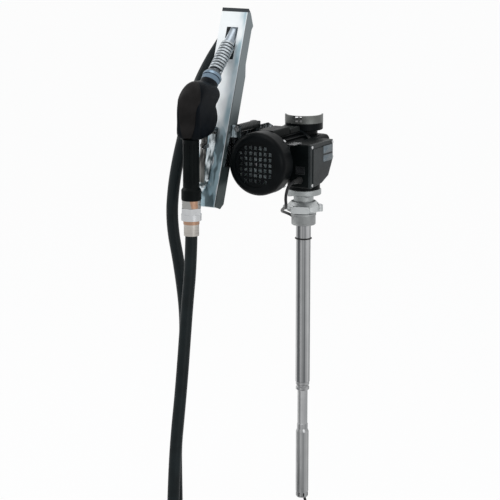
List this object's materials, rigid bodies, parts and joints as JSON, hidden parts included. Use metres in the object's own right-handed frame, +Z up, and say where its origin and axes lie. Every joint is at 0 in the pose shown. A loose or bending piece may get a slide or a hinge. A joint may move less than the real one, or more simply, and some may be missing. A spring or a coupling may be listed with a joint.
{
  "type": "diesel transfer pump",
  "caption": "Electric transfer pump for diesel on a telescopic drum suction tube, with terminal box, delivery hose, automatic nozzle in a channel holder and mains lead.",
  "frame": {"origin": "on the axis of the bung thread, at the middle of the thread", "axes": "+Z up along the suction tube; the motor lies along Y with its fan cover towards -Y; the terminal box is towards +X and the nozzle holder towards -X"},
  "size_m": [0.4947, 0.595, 1.3229],
  "materials": {
    "black_paint": "satin black powder coat",
    "cast_grey": "cast, satin",
    "bright_steel": "bright plated",
    "zinc_sheet": "bright zinc-plated sheet",
    "steel": "machined",
    "lamination": "stacked laminations, dull",
    "black_plastic": "fine grain, matt",
    "gloss_black": "smooth, half gloss",
    "black_rubber": "matt",
    "copper_band": "plated, worn warm",
    "dull_zinc": "dull plated",
    "shell_alu": "satin"
  },
  "bodies": {
    "pump": {"bung_adapter": "cast_grey", "inlet_neck": "cast_grey", "clamp_front": "cast_grey", "clamp_rear": "cast_grey", "clamp_fasteners": "steel", "rubber_seals": "black_rubber", "suction_tube_outer": "bright_steel", "motor_housing": "black_paint", "stator": "lamination", "bearings": "steel", "rear_shield": "black_paint", "drive_shield": "black_paint", "fan_cover": "black_paint", "top_covers": "black_plastic", "small_screws": "steel", "pump_body": "black_paint", "pump_end_cover": "black_paint", "pump_bolts": "steel", "bypass_spring": "steel", "bypass_cap": "black_paint", "outlet_head": "black_paint", "outlet_ring": "dull_zinc", "outlet_elbow": "dull_zinc", "terminal_box": "black_plastic", "terminal_lid": "black_plastic", "switch_frame": "gloss_black", "cable_gland": "black_rubber", "box_strap": "bright_steel", "nozzle_holder": "zinc_sheet", "holder_bracket": "zinc_sheet", "bracket_hardware": "steel", "ribbed_stud": "black_rubber", "nozzle_body": "black_plastic", "nozzle_cover": "gloss_black", "grip_sleeve": "black_plastic", "handle_tube": "dull_zinc", "spout": "shell_alu", "spout_wire": "bright_steel", "lever_guard": "black_plastic", "nozzle_ferrule": "dull_zinc", "hose_supply": "black_rubber", "hose_delivery": "black_rubber", "hose_coil": "black_rubber", "mains_lead": "black_rubber", "lead_coil": "black_rubber", "plug": "gloss_black"},
    "rotor": {"motor_rotor": "steel", "cooling_fan": "black_plastic", "pump_rotor": "steel", "vanes": "black_plastic"},
    "poppet": {"bypass_poppet": "copper_band"},
    "rocker": {"switch_rocker": "gloss_black"},
    "inner_tube": {"suction_tube_inner": "bright_steel", "foot_sleeve": "steel", "foot_strainer": "steel"},
    "valve": {"foot_valve": "copper_band"},
    "nut": {"lock_nut": "steel"},
    "trigger": {"trigger_lever": "black_plastic"},
    "clip": {"hold_clip": "steel"},
    "swivel": {"swivel_nut": "dull_zinc"}
  },
  "joints": [
    {"name": "rotor_spin", "type": "hinge", "parent": "pump", "child": "rotor", "pos_m": [0, 0, 0.17], "axis": [0, 1, 0], "continuous": true},
    {"name": "poppet_lift", "type": "slide", "parent": "pump", "child": "poppet", "axis": [-1, 0, 0], "range_m": [0, 0.003], "stiffness_N_per_m": 1500, "springref_m": -0.003, "deforming": ["bypass_spring"]},
    {"name": "switch_rock", "type": "hinge", "parent": "pump", "child": "rocker", "pos_m": [0.0765, -0.154, 0.151], "axis": [0, 0, 1], "range_deg": [0, 16]},
    {"name": "tube_slide", "type": "slide", "parent": "pump", "child": "inner_tube", "axis": [0, 0, 1], "range_m": [-0.2, 0.085]},
    {"name": "foot_valve_lift", "type": "slide", "parent": "inner_tube", "child": "valve", "axis": [0, 0, 1], "range_m": [0, 0.005]},
    {"name": "nut_turn", "type": "hinge", "parent": "pump", "child": "nut", "pos_m": [0, 0, -0.42], "axis": [0, 0, 1], "range_deg": [-180, 0]},
    {"name": "lever_pull", "type": "hinge", "parent": "pump", "child": "trigger", "pos_m": [-0.115, -0.277, 0.244], "axis": [-1, 0, 0], "range_deg": [0, 11], "stiffness_Nm_per_rad": 1.5, "springref_deg": -17.19},
    {"name": "clip_swing", "type": "hinge", "parent": "trigger", "child": "clip", "pos_m": [-0.115, -0.278, 0.212], "axis": [1, 0, 0], "range_deg": [-25, 0]},
    {"name": "hose_swivel", "type": "hinge", "parent": "pump", "child": "swivel", "pos_m": [-0.115, -0.336, 0.059], "axis": [0, 0, 1], "continuous": true}
  ]
}
